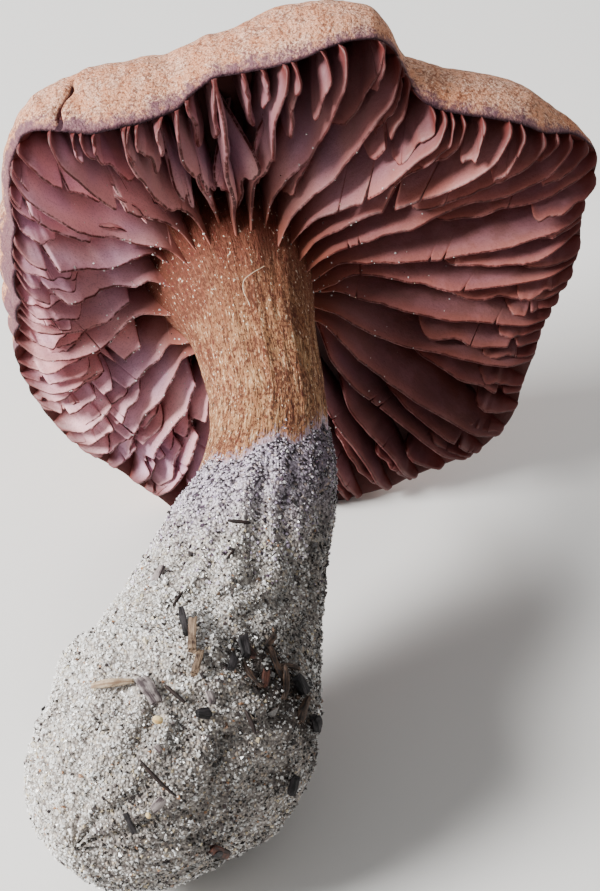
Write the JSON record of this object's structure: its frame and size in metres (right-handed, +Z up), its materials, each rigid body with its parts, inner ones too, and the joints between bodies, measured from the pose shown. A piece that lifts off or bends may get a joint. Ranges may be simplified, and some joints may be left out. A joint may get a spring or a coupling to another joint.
{
  "type": "sandy laccaria mushroom",
  "caption": "A picked sandy laccaria lying on its side: wavy tan cap, thick distant vinaceous gills, bent ochre stem and a sand-crusted club-shaped base.",
  "frame": {"origin": "on the surface that the mushroom lies on, under the middle of its box", "axes": "+Z up, -Y towards the sandy foot of the stem, +Y towards the top of the cap"},
  "size_m": [0.0638, 0.0836, 0.0634],
  "materials": {
    "cap": "matt, finely scaly",
    "gills": "matt, waxy",
    "stem": "matt, fibrous",
    "sand_coat": "rough, granular",
    "dark_bark": "matt",
    "pale_bark": "matt",
    "wood": "matt",
    "root": "matt",
    "charcoal": "matt"
  },
  "bodies": {
    "root": {"cap": "cap", "gills": "gills", "stem": "stem", "sand_coat": "sand_coat", "needle_short": "dark_bark", "needle_long": "dark_bark", "bark_sliver": "pale_bark", "bark_flake": "pale_bark", "wood_chip_1": "wood", "wood_chip_2": "wood", "root_piece": "root", "seed": "root", "charcoal_1": "charcoal", "charcoal_2": "charcoal"}
  },
  "joints": []
}
